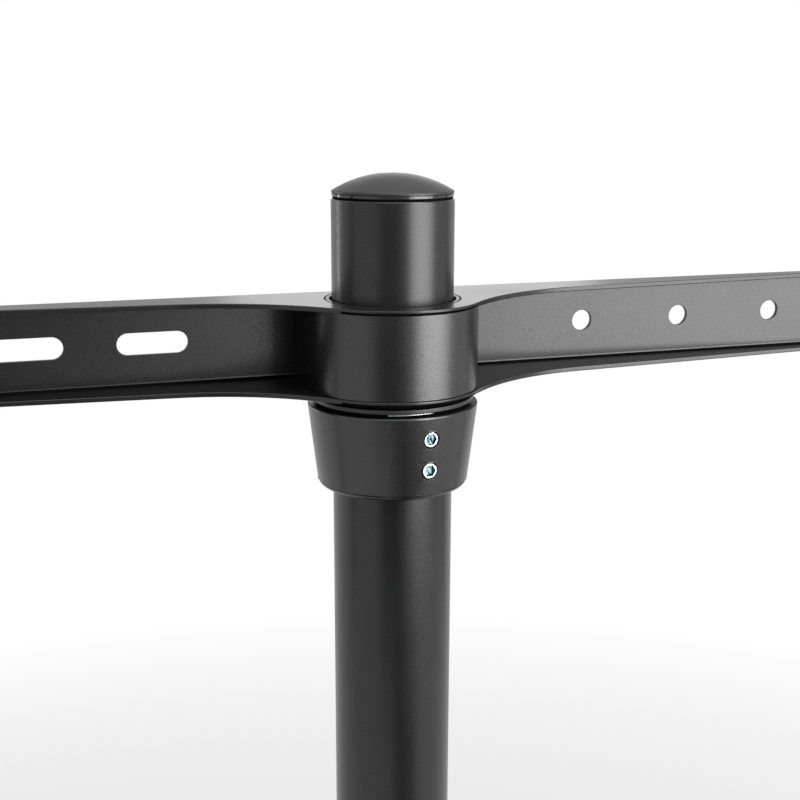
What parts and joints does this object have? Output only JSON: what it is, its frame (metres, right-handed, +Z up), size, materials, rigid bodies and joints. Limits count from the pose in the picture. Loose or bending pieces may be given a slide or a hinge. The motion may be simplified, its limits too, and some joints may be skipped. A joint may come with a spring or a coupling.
{
  "type": "television stand with mount",
  "caption": "Column television stand with a glass base, a glass shelf and a swivelling, height-adjustable bar that carries two television rails.",
  "frame": {"origin": "on the column's axis, at floor level, which is the middle of the base", "axes": "+Z up along the column, -Y towards the television, +X to the right as the television is watched from the front"},
  "size_m": [0.7, 0.46, 1.361],
  "materials": {
    "satin_black_steel": "satin powder coat",
    "moulded_black": "fine satin",
    "black_nylon": "matt",
    "black_rubber": "matt",
    "zinc_steel": "bright zinc plate",
    "black_glass": "polished"
  },
  "bodies": {
    "stand": {"column_tube": "satin_black_steel", "column_cap": "moulded_black", "base_glass": "black_glass", "base_feet": "black_rubber", "base_bushes": "black_nylon", "flange_gasket": "black_rubber", "counter_gasket": "black_rubber", "foot_flange": "satin_black_steel", "counter_plate": "satin_black_steel", "base_bolts": "zinc_steel", "base_washers": "zinc_steel", "base_nuts": "zinc_steel", "foot_cover": "moulded_black", "cable_clip_upper": "moulded_black", "cable_clip_lower": "moulded_black"},
    "collar": {"clamp_collar": "satin_black_steel", "thrust_ring": "moulded_black", "stop_pin": "zinc_steel"},
    "head": {"swivel_bar": "satin_black_steel", "bar_sleeve": "satin_black_steel", "upper_bush": "black_nylon", "lower_bush": "black_nylon", "tv_rail_left": "satin_black_steel", "tv_rail_right": "satin_black_steel", "rail_saddles": "satin_black_steel", "rail_bolts": "zinc_steel", "rail_washers": "zinc_steel", "rail_nuts": "zinc_steel"},
    "shelf": {"shelf_glass": "black_glass", "shelf_bracket": "satin_black_steel", "shelf_pads": "black_rubber", "shelf_screws": "zinc_steel", "shelf_nuts": "zinc_steel"},
    "collar_screw_upper": {"set_screw_upper": "zinc_steel"},
    "collar_screw_lower": {"set_screw_lower": "zinc_steel"},
    "shelf_screw_upper": {"shelf_set_screw_upper": "zinc_steel"},
    "shelf_screw_lower": {"shelf_set_screw_lower": "zinc_steel"}
  },
  "joints": [
    {"name": "head_height", "type": "slide", "parent": "stand", "child": "collar", "axis": [0, 0, 1], "range_m": [-0.35, 0.04]},
    {"name": "head_swivel", "type": "hinge", "parent": "collar", "child": "head", "pos_m": [0, 0, 1.1595], "axis": [0, 0, 1], "range_deg": [-35, 35]},
    {"name": "shelf_height", "type": "slide", "parent": "stand", "child": "shelf", "axis": [0, 0, 1], "range_m": [-0.1, 0.1]},
    {"name": "collar_screw_upper_turn", "type": "slide", "parent": "collar", "child": "collar_screw_upper", "axis": [-0.1582, 0.9874, 0], "range_m": [0, 0.003]},
    {"name": "collar_screw_lower_turn", "type": "slide", "parent": "collar", "child": "collar_screw_lower", "axis": [-0.1582, 0.9874, 0], "range_m": [0, 0.003]},
    {"name": "shelf_screw_upper_turn", "type": "slide", "parent": "shelf", "child": "shelf_screw_upper", "axis": [0, 1, 0], "range_m": [0, 0.003]},
    {"name": "shelf_screw_lower_turn", "type": "slide", "parent": "shelf", "child": "shelf_screw_lower", "axis": [0, 1, 0], "range_m": [0, 0.003]}
  ]
}
